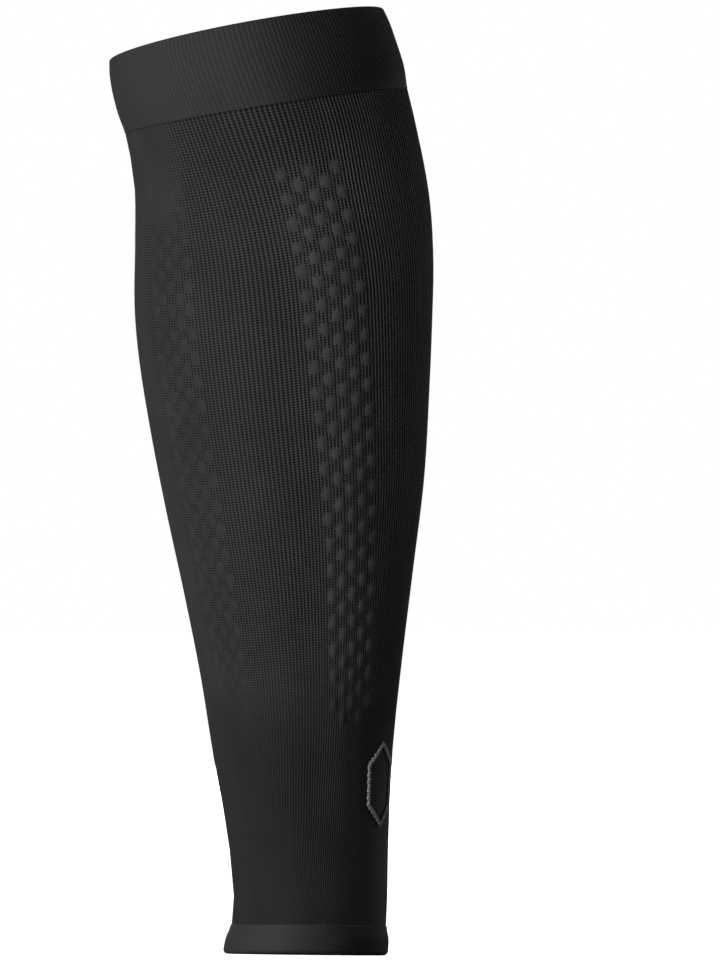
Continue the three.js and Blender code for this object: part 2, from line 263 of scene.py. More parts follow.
def row_rise(row):
    """The rise of a row of dots, the other way round from dot_row."""
    grow = (DOT_FOOT_PITCH - DOT_TOP_PITCH) / (2 * DOT_ROWS)
    return FIRST_DOT_RISE - row * (DOT_TOP_PITCH + grow * row)


def dot_column(angle, row, lateral):
    """Which column of dots an angle is at, for the outer panel or the inner one."""
    middle = np.where(lateral, DOT_PANELS[1][0], DOT_PANELS[0][0])
    drift = np.where(lateral, DOT_PANELS[1][1], DOT_PANELS[0][1])
    share = np.where(lateral, DOT_PANELS[1][2], DOT_PANELS[0][2])
    step = degrees_around(DOT_COLUMN_PITCH, 0.0) * share
    return (angle - middle - drift * row / DOT_ROWS) / step + (DOT_COLUMNS - 1) / 2


DOT_HALF_COLUMN, DOT_HALF_ROW = 0.385, 0.25


def nearest_dot(column, row):
    """How far a place is from its nearest dot, in half dots across and down, 9 where there is none."""
    best_across = np.full(np.shape(column), 9.0)
    best_down = np.zeros(np.shape(column))
    for odd in (0, 1):
        near_column = np.clip(np.round((column - odd) / 2) * 2 + odd, odd, DOT_COLUMNS - 1 - odd)
        near_row = np.clip(np.round(row - odd / 2), 0, DOT_ROWS - 1) + odd / 2
        across = (column - near_column) / DOT_HALF_COLUMN
        down = (row - near_row) / DOT_HALF_ROW
        closer = across**2 + down**2 < best_across**2 + best_down**2
        best_across = np.where(closer, across, best_across)
        best_down = np.where(closer, down, best_down)
    return best_across, best_down


# Mesh building


def new_piece(name, points, faces, corner_maps, material, point_values=None):
    """A smooth mesh object from points in metres, faces and one coordinate pair per face corner."""
    mesh = bpy.data.meshes.new(name)
    mesh.from_pydata([tuple(p) for p in points], [], faces)
    mesh.validate(clean_customdata=False)
    for map_name, values in corner_maps.items():
        layer = mesh.uv_layers.new(name=map_name)
        layer.data.foreach_set("uv", np.asarray(values, np.float32).ravel())
    for value_name, values in (point_values or {}).items():
        attribute = mesh.attributes.new(value_name, "FLOAT", "POINT")
        attribute.data.foreach_set("value", np.asarray(values, np.float32).ravel())
    mesh.polygons.foreach_set("use_smooth", [True] * len(mesh.polygons))
    mesh.materials.append(material)
    mesh.update()
    piece = bpy.data.objects.new(name, mesh)
    bpy.context.scene.collection.objects.link(piece)
    return piece


def dress(piece, slot, node):
    """The piece stands for a node of the frame, whose imported part it hides; the slot is not used."""
    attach(piece, "root")
    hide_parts(node)


def closed_grid(u, v):
    """Faces of a grid that closes both ways, and each corner's place, from its columns' u and rows' v."""
    rows, columns = len(v) - 1, len(u) - 1
    faces, coords = [], []
    for r in range(rows):
        low, high = r * columns, (r + 1) % rows * columns
        for c in range(columns):
            c2 = (c + 1) % columns
            faces.append((low + c, low + c2, high + c2, high + c))
            coords.extend(((u[c], v[r]), (u[c + 1], v[r]), (u[c + 1], v[r + 1]), (u[c], v[r + 1])))
    return faces, coords


def ring_band(name, profile, ribs, material, lift, rib_show):
    """A closed band round the leg: profile is a loop of (rise, out, relief share), ribs the count around."""
    angles, wave = rib_columns(ribs)
    profile = np.array(profile, float)
    rise, out, share = profile.T[:, :, None]
    placed = angles + rib_drift(rise, angles)
    out = out + lift(rise, placed, wave) * share
    points = leg_points(rise, placed, out).reshape(-1, 3)
    steps = np.diff(profile[:, :2], axis=0, append=profile[:1, :2])
    along = np.concatenate([[0], np.cumsum(np.hypot(*steps.T))])
    faces, coords = closed_grid(np.arange(len(angles) + 1) / COLUMNS_PER_RIB, along)
    values = {"rib_show": rib_show(placed)}
    return new_piece(name, points, faces, {"knit": coords}, material, values)


# Shader groups


def group_tree(name, vector, numbers, results):
    """A shader group with one vector and some numbers as inputs, and the inputs of its output node."""
    tree = bpy.data.node_groups.new(name, "ShaderNodeTree")
    tree.interface.new_socket(vector, in_out="INPUT", socket_type="NodeSocketVector")
    for socket, default in numbers.items():
        item = tree.interface.new_socket(socket, in_out="INPUT", socket_type="NodeSocketFloat")
        item.default_value = default
    for socket in results:
        tree.interface.new_socket(socket, in_out="OUTPUT", socket_type="NodeSocketFloat")
    return tree, tree.nodes.new("NodeGroupInput").outputs, tree.nodes.new("NodeGroupOutput").inputs


def put_out(tree, end, **values):
    for name, value in values.items():
        tree.links.new(value, end[name])


def connect(tree, socket, value):
    if isinstance(value, bpy.types.NodeSocket):
        tree.links.new(value, socket)
    else:
        socket.default_value = value


def add_node(tree, kind, *values, **named):
    """A shader node of a kind, with its inputs filled in order or by name."""
    node = tree.nodes.new("ShaderNode" + kind)
    for socket, value in zip(node.inputs, values):
        connect(tree, socket, value)
    for name, value in named.items():
        connect(tree, node.inputs[name.replace("_", " ")], value)
    return node


def maths(tree, operation, *values):
    node = add_node(tree, "Math", *values)
    node.operation = operation
    return node.outputs[0]


def times(tree, a, b):
    return maths(tree, "MULTIPLY", a, b)


def times_plus(tree, a, b, c):
    return maths(tree, "MULTIPLY_ADD", a, b, c)


def held_between(tree, value, low, high):
    return maths(tree, "MINIMUM", maths(tree, "MAXIMUM", value, low), high)


def soft_range(tree, value, low, high, to_low=0.0, to_high=1.0):
    node = add_node(tree, "MapRange", value, low, high, to_low, to_high)
    node.interpolation_type = "SMOOTHSTEP"
    return node.outputs[0]


def split(tree, vector):
    return add_node(tree, "SeparateXYZ", vector).outputs


def mix_colour(tree, share, a, b, blend="MIX"):
    node = add_node(tree, "Mix")
    node.data_type = "RGBA"
    node.blend_type = blend
    connect(tree, node.inputs["Factor"], share)
    connect(tree, [s for s in node.inputs if s.name == "A" and s.type == "RGBA"][0], a)
    connect(tree, [s for s in node.inputs if s.name == "B" and s.type == "RGBA"][0], b)
    return [s for s in node.outputs if s.type == "RGBA"][0]


def map_vector(tree, name):
    node = add_node(tree, "UVMap")
    node.uv_map = name
    return node.outputs[0]


def object_vector(tree):
    return add_node(tree, "TexCoord").outputs["Object"]


def point_value(tree, name):
    node = add_node(tree, "Attribute")
    node.attribute_name = name
    return node.outputs["Fac"]


def noise(tree, vector, scale, detail=2.0, roughness=0.5):
    node = add_node(tree, "TexNoise", Vector=vector, Scale=scale, Detail=detail, Roughness=roughness)
    return node.outputs[0]


def distance(tree, across, along):
    squares = [maths(tree, "POWER", value, 2.0) for value in (across, along)]
    return maths(tree, "SQRT", maths(tree, "ADD", *squares))


def place_group(tree, name, **values):
    """One of the shared shader groups, with its own values, as the outputs of its node."""
    node = add_node(tree, "Group")
    node.node_tree = shared_group(name)
    for socket, value in values.items():
        connect(tree, node.inputs[socket.replace("_", " ")], value)
    return node.outputs


def rib_group():
    """Ribs with valleys between them: one unit of X is a rib, one unit of Y a course of stitches."""
    numbers = {"Valley Width": 0.5, "Hole Width": 0.3, "Hole Height": 0.6, "Waver": 0.06}
    tree, start, end = group_tree("Ribs", "Knit", numbers, ("Rib", "Hole", "Course"))
    knit = start["Knit"]
    u, v, _ = split(tree, knit)
    waver = maths(tree, "SUBTRACT", noise(tree, knit, 0.9, 1.0), 0.5)
    u = times_plus(tree, waver, start["Waver"], u)
    whole = maths(tree, "FLOOR", maths(tree, "ADD", u, 0.5))
    from_valley = maths(tree, "ABSOLUTE", maths(tree, "SUBTRACT", u, whole))
    half_valley = times(tree, start["Valley Width"], 0.5)
    valley_edges = [times(tree, half_valley, share) for share in (0.35, 1.6)]
    rib = soft_range(tree, from_valley, *valley_edges)
    course_place = maths(tree, "ABSOLUTE", maths(tree, "SUBTRACT", maths(tree, "FRACT", v), 0.5))
    across = maths(tree, "DIVIDE", from_valley, times(tree, start["Hole Width"], 0.5))
    below = maths(tree, "SUBTRACT", 0.5, course_place)
    along = maths(tree, "DIVIDE", below, times(tree, start["Hole Height"], 0.5))
    away = distance(tree, across, along)
    hole = soft_range(tree, away, 1.3, 0.7)
    course = soft_range(tree, course_place, 0.05, 0.45, 1.0, 0.0)
    put_out(tree, end, Rib=rib, Hole=hole, Course=course)
    return tree


def yarn_group():
    """Uneven tone and fuzz of the yarn, from the object's own coordinates."""
    tree, start, end = group_tree("Yarn", "Place", {"Grain": 2600.0, "Cloud": 45.0}, ("Tone", "Fuzz"))
    fuzz = noise(tree, start["Place"], start["Grain"], 3.0, 0.7)
    cloud = noise(tree, start["Place"], start["Cloud"], 3.0, 0.55)
    tone = maths(tree, "ADD", times(tree, fuzz, 0.55), times(tree, cloud, 0.45))
    put_out(tree, end, Tone=tone, Fuzz=fuzz)
    return tree


def stitch_group():
    """Knitted stitches like small slanting grains, two to a rib: one unit of X a rib, of Y a course."""
    tree, start, end = group_tree("Stitches", "Knit", {"Slant": 0.5}, ("Stitch",))
    u, v, _ = split(tree, start["Knit"])
    leg = maths(tree, "PINGPONG", u, 0.5)
    slanted = maths(tree, "ADD", v, times(tree, leg, start["Slant"]))
    beat = maths(tree, "ABSOLUTE", maths(tree, "SUBTRACT", maths(tree, "FRACT", slanted), 0.5))
    grain = soft_range(tree, beat, 0.1, 0.42, 1.0, 0.0)
    side = maths(tree, "ABSOLUTE", maths(tree, "SUBTRACT", leg, 0.25))
    body = soft_range(tree, side, 0.12, 0.25, 1.0, 0.25)
    put_out(tree, end, Stitch=times(tree, grain, body))
    return tree


def dot_group():
    """Round smooth patches on a staggered grid: X counts columns, Y counts rows."""
    tree, start, end = group_tree("Dot Grid", "Grid", {"Ragged": 1.5, "Size": 1.0}, ("Patch", "Dome"))
    column, row, _ = split(tree, start["Grid"])
    nearest = None
    for odd in (0, 1):
        half = times(tree, maths(tree, "SUBTRACT", column, float(odd)), 0.5)
        c = times_plus(tree, maths(tree, "ROUND", half), 2.0, float(odd))
        c = held_between(tree, c, float(odd), DOT_COLUMNS - 1.0 - odd)
        r = maths(tree, "ROUND", maths(tree, "SUBTRACT", row, odd / 2))
        r = maths(tree, "ADD", held_between(tree, r, 0.0, DOT_ROWS - 1.0), odd / 2)
        across = maths(tree, "DIVIDE", maths(tree, "SUBTRACT", column, c), DOT_HALF_COLUMN)
        down = maths(tree, "DIVIDE", maths(tree, "SUBTRACT", row, r), DOT_HALF_ROW)
        away = maths(tree, "MAXIMUM", distance(tree, across, down), 0.01)
        ray = [maths(tree, "DIVIDE", part, away) for part in (across, down)]
        ray = add_node(tree, "CombineXYZ", *ray, times_plus(tree, c, 3.7, r))
        reach = maths(tree, "SUBTRACT", noise(tree, ray.outputs[0], 4.5, 1.0), 0.5)
        away = maths(tree, "DIVIDE", away, start["Size"])
        away = times_plus(tree, reach, start["Ragged"], away)
        nearest = away if nearest is None else maths(tree, "MINIMUM", nearest, away)
    put_out(tree, end, Patch=soft_range(tree, nearest, 1.15, 0.7), Dome=soft_range(tree, nearest, 1.1, 0.0))
    return tree


GROUPS = {}


def shared_group(name):
    """The shader group of that name, built the first time it is asked for."""
    makers = {"Ribs": rib_group, "Yarn": yarn_group, "Stitches": stitch_group, "Dot Grid": dot_group}
    if name not in GROUPS:
        GROUPS[name] = makers[name]()
    return GROUPS[name]


def empty_tree(owner):
    owner.use_nodes = True
    owner.node_tree.nodes.clear()
    return owner.node_tree


def cloth_material(name, roughness, sheen):
    """A matt material with the soft sheen of nylon yarn, its tree and its shader."""
    material = bpy.data.materials.new(name)
    tree = empty_tree(material)
    shader = add_node(tree, "BsdfPrincipled", Roughness=roughness, Sheen_Weight=sheen, Sheen_Roughness=0.5)
    shader.inputs["Specular IOR Level"].default_value = 0.25
    add_node(tree, "OutputMaterial", shader.outputs[0])
    return material, tree, shader


def bump(tree, shader, height, depth):
    node = add_node(tree, "Bump", Strength=1.0, Distance=depth, Height=height)
    tree.links.new(node.outputs[0], shader.inputs["Normal"])


def rgba(colour, share=1.0):
    return (colour[0] * share, colour[1] * share, colour[2] * share, 1.0)


def body_material(colour):
    """Black ribbed knit with rows of small holes, smooth over the dots, with painted shade in the rib
    valleys, painted highlights on the crests and painted light and shade in the yarn's colour.
    """
    material, tree, shader = cloth_material("Ribbed knit with holes", 0.78, 0.02)
    knit, place = map_vector(tree, "knit"), object_vector(tree)
    holes = {"Hole_Width": 0.56, "Hole_Height": 0.66}
    ribs = place_group(tree, "Ribs", Knit=knit, Valley_Width=0.6, Waver=0.16, **holes)
    yarn = place_group(tree, "Yarn", Place=place)
    size = point_value(tree, "patch_size")
    dots = place_group(tree, "Dot Grid", Grid=map_vector(tree, "dots"), Size=size)
    show = point_value(tree, "dot_show")
    bare = maths(tree, "SUBTRACT", 1.0, times(tree, dots["Patch"], show))
    valley = times(tree, maths(tree, "SUBTRACT", 1.0, ribs["Rib"]), point_value(tree, "valley_show"))
    valley = times(tree, valley, bare)
    openness = times(tree, point_value(tree, "openness"), bare)
    hole = times(tree, ribs["Hole"], openness)
    base = rgba(colour)
    threads = mix_colour(tree, ribs["Course"], rgba(colour, 0.88), rgba(colour, 1.47))
    base = mix_colour(tree, openness, base, threads)
    # Painted highlight: lightens the knit where the valleys' painted shade is deepest, so the rib crests show
    # as lit lines.
    deep = soft_range(tree, point_value(tree, "valley_show"), 0.55, 0.9)
    base = mix_colour(tree, deep, base, rgba(colour, 1.8))
    # Painted shade: darkens the valleys between the ribs.
    base = mix_colour(tree, times(tree, valley, 0.75), base, rgba(colour, 0.12))
    base = mix_colour(tree, times(tree, hole, 0.97), base, rgba(colour, 0.02))
    # Painted light and shade in the yarn's colour, from the point values; the dots are also made lighter
    # where it is above one.
    painted_shading = point_value(tree, "yarn_tone")
    raised = times(tree, dots["Patch"], soft_range(tree, painted_shading, 1.0, 1.3))
    base = mix_colour(tree, raised, base, rgba(colour, 1.32))
    tone = soft_range(tree, yarn["Tone"], 0.3, 0.7, 0.8, 1.2)
    tone = times(tree, tone, painted_shading)
    base = mix_colour(tree, 1.0, base, tone, "MULTIPLY")
    tree.links.new(base, shader.inputs["Base Color"])
    height = times_plus(tree, hole, -1.0, times(tree, valley, -0.5))
    height = times_plus(tree, times(tree, ribs["Course"], openness), 0.3, height)
    height = times_plus(tree, times(tree, dots["Dome"], show), 0.35, height)
    height = times_plus(tree, yarn["Fuzz"], 0.1, height)
    bump(tree, shader, height, 0.0003)
    return material


def band_material(name, colour, valley_shade_share, fuzz_share):
    """Closer knit of the welt and the hem, ribbed without holes, with painted shade in the rib valleys and
    round the outer side.
    """
    material, tree, shader = cloth_material(name, 0.82, 0.02)
    knit, place = map_vector(tree, "knit"), object_vector(tree)
    ribs = place_group(tree, "Ribs", Knit=knit, Valley_Width=0.5)
    yarn = place_group(tree, "Yarn", Place=place)
    valley = times(tree, maths(tree, "SUBTRACT", 1.0, ribs["Rib"]), point_value(tree, "rib_show"))
    tone = soft_range(tree, yarn["Tone"], 0.3, 0.7)
    base = mix_colour(tree, tone, rgba(colour, 1 - fuzz_share), rgba(colour, 1 + fuzz_share))
    # Painted shade: darkens the valleys between the ribs.
    base = mix_colour(tree, times(tree, valley, valley_shade_share), base, rgba(colour, 0.3))
    # Painted shade: the knit is darker round the outer side, where the ribs stand out most.
    shade = soft_range(tree, point_value(tree, "rib_show"), 0.72, 1.0, 1.0, 0.62)
    base = mix_colour(tree, 1.0, base, shade, "MULTIPLY")
    tree.links.new(base, shader.inputs["Base Color"])
    height = times_plus(tree, ribs["Course"], 0.2, times(tree, valley, -0.3))
    height = times_plus(tree, yarn["Fuzz"], 0.25, height)
    bump(tree, shader, height, 0.0002)
    return material


def coloured_material(name, colour, low, high, roughness=0.75):
    """Coloured yarn in plain stitches, for the stripes, the outline and the lozenges."""
    material, tree, shader = cloth_material(name, roughness, 0.05)
    knit, place = map_vector(tree, "knit"), object_vector(tree)
    stitches = place_group(tree, "Stitches", Knit=knit, Slant=1.0)
    yarn = place_group(tree, "Yarn", Place=place, Grain=1800.0)
    tone = times(tree, stitches["Stitch"], soft_range(tree, yarn["Tone"], 0.2, 0.65, 0.55, 1.0))
    base = mix_colour(tree, tone, rgba(colour, low), rgba(colour, high))
    tree.links.new(base, shader.inputs["Base Color"])
    height = times_plus(tree, yarn["Fuzz"], 0.3, stitches["Stitch"])
    bump(tree, shader, height, 0.00025)
    return material


# Sizes and colours that a user would change


class KnitSettings(bpy.types.PropertyGroup):
    ribs: IntProperty(name="Ribs", description="Ribs around the sleeve", default=202, min=60, max=300)
    rib_height: FloatProperty(
        name="Rib height", description="Depth of the valleys between ribs", default=0.00022, unit="LENGTH"
    )
    course: FloatProperty(
        name="Course height", description="Height of one row of stitches", default=0.00099, unit="LENGTH"
    )
    dot_rise: FloatProperty(
        name="Dot height", description="How far the massage dots stand up", default=0.0003, unit="LENGTH"
    )
    black: FloatVectorProperty(
        name="Black yarn", description="Body, welt and hem", subtype="COLOR", default=(0.04, 0.04, 0.04)
    )
    grey: FloatVectorProperty(
        name="Stripe yarn", description="Tendon stripes", subtype="COLOR", default=(0.34, 0.34, 0.34)
    )
    mark: FloatVectorProperty(
        name="Outline yarn", description="Ankle outline", subtype="COLOR", default=(0.8, 0.8, 0.8)
    )
    red: FloatVectorProperty(
        name="Red yarn", description="Upper lozenges", subtype="COLOR", default=(0.6, 0.012, 0.02)
    )
    dark: FloatVectorProperty(
        name="Dark yarn", description="Lower lozenges", subtype="COLOR", default=(0.1, 0.1, 0.115)
    )


class StudioSettings(bpy.types.PropertyGroup):
    key: FloatProperty(name="Key light", description="Power of the key light", default=60.0, unit="POWER")
    rim: FloatProperty(name="Rim light", description="Power of the rim light", default=9.0, unit="POWER")
    back: FloatProperty(name="Back light", description="Power of the back light", default=42.0, unit="POWER")
    fill: FloatProperty(name="Fill", description="Light from all around", default=0.05)
    distance: FloatProperty(
        name="Camera distance", description="From the camera to the sleeve", default=4.0, unit="LENGTH"
    )


# Pieces


FINE_EDGE = 60.0

COARSE_EVERY = 5
OFF_THE_DOTS = (-20.0, -20.0)


def body_rows():
    """Rises of the body's rows, close together beside the dots."""
    dots = row_rise(np.arange(21.875, -0.4, -0.125))
    below = np.linspace(HEM_TOP, dots[0], 22)[:-1]
    above = np.linspace(dots[-1], WELT_FOOT, 8)[1:]
    under_hem = [HEM_TOP - HEM_LAP, HEM_TOP - 1.0]
    under_welt = [WELT_FOOT + 1.0, WELT_FOOT + WELT_LAP]
    return np.concatenate([under_hem, below, dots, above, under_welt])


def body_openness(rise, angle):
    """How open the knit is: full beside the shin, close round the sides and toward the ankle."""
    inner = 0.8 * ramp(-58, -50, angle) + 0.2 * ramp(-46, -40, angle)
    outer = 1 - 0.8 * ramp(56, 72, angle)
    foot = 0.3 * ramp(-214, -196, rise) * (1 - ramp(15, 45, np.abs(angle)))
    foot = foot + (1 - foot) * ramp(-176, -120, rise)
    top = 1 - ramp(22, 44, rise) * ramp(-16, -36, angle)
    return inner * outer * foot * top


def valley_show(rise, angle):
    """Painted shade in the valleys between the ribs: darkest at the outer side and under the welt."""
    front = 0.12 * ramp(-34, -14, angle) * ramp(172, 105, angle)
    outer = 0.78 * ramp(40, 60, angle) * ramp(172, 105, angle) * ramp(-200, -140, rise)
    top = 0.4 * ramp(18, 50, rise) * ramp(-30, -8, angle) * ramp(172, 105, angle)
    back = 0.16 + 0.3 * ramp(120, 160, np.abs(angle)) * ramp(-60, 30, rise)
    low = 0.45 * ramp(-150, -190, rise) * (1 - ramp(25, 60, np.abs(angle)))
    return np.clip(np.maximum(front + outer + top + low, back), 0, 1)


def yarn_tone(rise, angle):
    """Painted light and shade in the yarn's colour: darker across the front and outer side than at the inner
    side and the back, lighter over the upper outer panel, and darker at the front of the ankle.
    """
    middle = 1 - 0.14 * ramp(-50, -38, angle) * ramp(140, 100, angle)
    outer = 0.42 * ramp(8, 34, angle) * ramp(62, 30, rise) * ramp(140, 100, angle)
    ankle = 0.38 * ramp(-140, -180, rise) * ramp(140, 95, np.abs(angle))
    return (middle + outer) * (1 - ankle)


def relief_show(rise, angle):
    """How far the ribs stand out: least at the inner side, most at the outer one and under the welt."""
    inner = 0.3 + 0.7 * np.maximum(ramp(-35, -10, angle), ramp(-120, -165, angle))
    outer = 1 + 0.3 * ramp(45, 65, angle) * ramp(150, 110, angle)
    return inner * outer * (0.4 + 0.6 * ramp(-200, -140, rise))


def dot_show(rise, angle):
    """How clearly the dots show: less at the inner panel's top and toward each panel's foot."""
    outer = ramp(-184, -166, rise)
    inner = ramp(-172, -140, rise) * (1 - 0.35 * ramp(10, 40, rise))
    return np.where(angle > 0, outer, inner)


def body_surface(settings, rows, angles, wave):
    """The outer knit: its points, the values that its material reads, and its place on the dots' grid."""
    rise = np.repeat(rows[:, None], len(angles), 1)
    row = dot_row(rise)
    drifted = angles + rib_drift(rise, angles)
    lateral = drifted > 0
    across, down = nearest_dot(dot_column(drifted, row, lateral), row)
    away = np.hypot(across, down)
    show = dot_show(rise, drifted)
    step = degrees_around(DOT_COLUMN_PITCH, 0.0)
    spread = np.where(lateral, 0.14, 0.08) * show * (np.abs(angles) <= FINE_EDGE)
    pushed = drifted + spread * across * DOT_HALF_COLUMN * step * np.exp(-away**2 / 2)
    patch_size = np.where(lateral, 1.2, 1.4)
    across, down = nearest_dot(dot_column(pushed, row, lateral), row)
    away = np.hypot(across, down) / patch_size
    patch = ramp(1.2, 0.75, away) * show
    dome = (1 - np.clip(away, 0, 1) ** 2) ** 1.5 * show * np.where(lateral, 1.0, 0.35)
    relief = -settings.rib_height / MM * wave * (1 - patch) * relief_show(rise, pushed)
    points = leg_points(rise, pushed, relief + settings.dot_rise / MM * dome)
    values = {
        "openness": body_openness(rise, pushed),
        "valley_show": valley_show(rise, pushed),
        "yarn_tone": yarn_tone(rise, pushed),
        "dot_show": show,
        "patch_size": patch_size,
    }
    return points, values, (drifted, pushed, row)


def outer_faces(index, fine, coarse):
    """Faces of the outer knit: every row beside the shin, and only the coarse rows elsewhere."""
    rows, columns = index.shape
    faces = []
    for c in range(columns):
        c2 = (c + 1) % columns
        if fine[c] and fine[c2]:
            faces += [(index[r, c], index[r, c2], index[r + 1, c2], index[r + 1, c]) for r in range(rows - 1)]
            continue
        for low, high in zip(coarse[:-1], coarse[1:]):
            right = [index[r, c2] for r in (range(low, high + 1) if fine[c2] else (low, high))]
            left = [index[r, c] for r in (range(low, high + 1) if fine[c] else (low, high))]
            faces.append((*right, *left[::-1]))
    return faces


def inner_wall(rows, angles, coarse, index):
    """The inner wall, one column a rib, joined to the outer rows at both ends: points, faces and places."""
    rises, spots = np.append(rows[coarse][:-1:3], rows[-1]), angles[::COLUMNS_PER_RIB]
    first, count = index.max() + 1, len(spots)
    placed = spots + rib_drift(rises[:, None], spots)
    points = leg_points(rises[:, None], placed, -KNIT_WALL).reshape(-1, 3)
    places = {}
    for r, c in np.ndindex(placed.shape):
        places[first + r * count + c] = (int(np.abs(rows - rises[r]).argmin()), c * COLUMNS_PER_RIB)
    faces = []
    for r in range(len(rises) - 1):
        for c in range(count):
            a, b = first + r * count + c, first + r * count + (c + 1) % count
            faces.append((b, a, a + count, b + count))
    last = first + (len(rises) - 1) * count
    for c in range(count):
        c2 = (c + 1) % count
        span = [(c * COLUMNS_PER_RIB + k) % len(angles) for k in range(COLUMNS_PER_RIB + 1)]
        faces.append((*index[0, span[::-1]], first + c, first + c2))
        faces.append((*index[-1, span], last + c2, last + c))
    return points, faces, places


def body_maps(faces, where, ribs, courses, grid_place):
    """Each face corner's place in ribs and courses, and in columns and rows of dots."""
    drifted, pushed, row = grid_place
    columns = ribs * COLUMNS_PER_RIB
    knit, grid = [], []
    for face in faces:
        spots = [where[i] for i in face]
        wraps = max(c for _, c in spots) - min(c for _, c in spots) > columns / 2
        middle = sum(drifted[r, c] for r, c in spots) / len(spots)
        for r, c in spots:
            turn = ribs if wraps and c < columns / 2 else 0
            knit.append((c / COLUMNS_PER_RIB + turn, courses[r]))
            if wraps or abs(middle) > FINE_EDGE + 5:
                grid.append(OFF_THE_DOTS)
            else:
                t = float(row[r, c])
                grid.append((float(dot_column(pushed[r, c], t, middle > 0)), t))
    return {"knit": knit, "dots": grid}


def build_body(settings):
    """The whole ribbed body, finely meshed beside the shin and coarsely elsewhere."""
    rows = body_rows()
    angles, wave = rib_columns(settings.ribs)
    fine = np.abs(angles) <= FINE_EDGE
    coarse_rows = np.zeros(len(rows), bool)
    coarse_rows[::COARSE_EVERY] = True
    coarse_rows[[1, 2, -1, -2, -3]] = True
    coarse_rows[3:5] = False
    coarse = np.flatnonzero(coarse_rows)
    points, fields, grid_place = body_surface(settings, rows, angles, wave)
    kept = fine[None, :] | coarse_rows[:, None]
    index = np.full(kept.shape, -1)
    index[kept] = np.arange(kept.sum())
    where = {i: place for place, i in np.ndenumerate(index) if i >= 0}
    inner, inner_faces, inner_places = inner_wall(rows, angles, coarse, index)
    faces = outer_faces(index, fine, coarse) + inner_faces
    where.update(inner_places)
    inside = {"openness": 0.0, "valley_show": 0.5, "yarn_tone": 1.0, "dot_show": 0.0, "patch_size": 1.0}
    values = {field: np.append(fields[field][kept], np.full(len(inner), inside[field])) for field in inside}
    maps = body_maps(faces, where, settings.ribs, rows * MM / settings.course, grid_place)
    points = np.concatenate([points[kept], inner])
    return new_piece("ribbed_body", points, faces, maps, body_material(settings.black), values)


class SLEEVE_OT_body(bpy.types.Operator):
    """Builds the ribbed body with its massage dots"""

    bl_idname = "sleeve.body"
    bl_label = "Ribbed body"

    def execute(self, context):
        piece = build_body(context.scene.sleeve_knit)
        dress(piece, "knit_black", "knit_body")
        return {"FINISHED"}


def rounded(rise, out, radius, start, end, steps, share=1.0):
    """Points of a rounded edge about a centre, from one angle to another in degrees."""
    turns = np.radians(np.linspace(start, end, steps))
    return [(rise + radius * math.sin(t), out + radius * math.cos(t), share) for t in turns]


class SLEEVE_OT_welt(bpy.types.Operator):
    """Builds the doubled top welt, folded over at the knee end"""

    bl_idname = "sleeve.welt"
    bl_label = "Top welt"

    def execute(self, context):
        settings = context.scene.sleeve_knit
        face = SEAM_GAP + WELT_LAYER
        radius = (face - 0.55 + KNIT_WALL) / 2
        bend = TOP_RISE - radius
        profile = [(WELT_FOOT, -0.06, 0.0), (WELT_FOOT + 0.5, 0.1, 0.0)]
        shoulder = ((1.6, 0.22, 0.2), (3.0, 0.4, 0.5), (4.6, 0.64, 0.8), (6.4, 0.9, 1.0), (8.4, 1.1, 1.0))
        profile += [(WELT_FOOT + rise, out, share) for rise, out, share in shoulder]
        profile += [(r, face, 1.0) for r in np.linspace(WELT_FOOT + 10.5, bend - 6.0, 8)]
        profile += [(bend - 4.0, face - 0.08, 1.0), (bend - 2.0, face - 0.28, 1.0)]
        profile += rounded(bend, face - 0.55 - radius, radius, 0, 180, 11, 0.75)
        profile += [(r, -KNIT_WALL, 0.3) for r in np.linspace(bend - 2.0, WELT_FOOT + WELT_LAP + 0.6, 7)]
        profile += [(WELT_FOOT + WELT_LAP + 0.35, SEAM_GAP - 0.1, 0.0)]
        profile += [(WELT_FOOT + 3.0, SEAM_GAP - 0.1, 0.0)]

        # How deep the welt's ribs stand, and how much painted shade its knit gets: most at the outer side.
        def rib_show(angle):
            front = 0.72 * ramp(-42, 0, angle) + 0.28 * ramp(12, 62, angle)
            back = 0.6 * ramp(110, 150, np.abs(angle))
            return 0.08 + 0.92 * np.maximum(front * ramp(175, 120, angle), back)

        def lift(rise, angle, wave):
            sag = 0.12 * np.sin(np.radians(angle * 3 + 40)) * ramp(WELT_FOOT + 20, TOP_RISE, rise)
            return -0.22 * wave * rib_show(angle) + sag

        material = band_material("Close knit of the welt", settings.black, 0.6, 0.1)
        piece = ring_band("folded_welt", profile, settings.ribs, material, lift, rib_show)
        dress(piece, "welt_black", "top_welt")
        return {"FINISHED"}


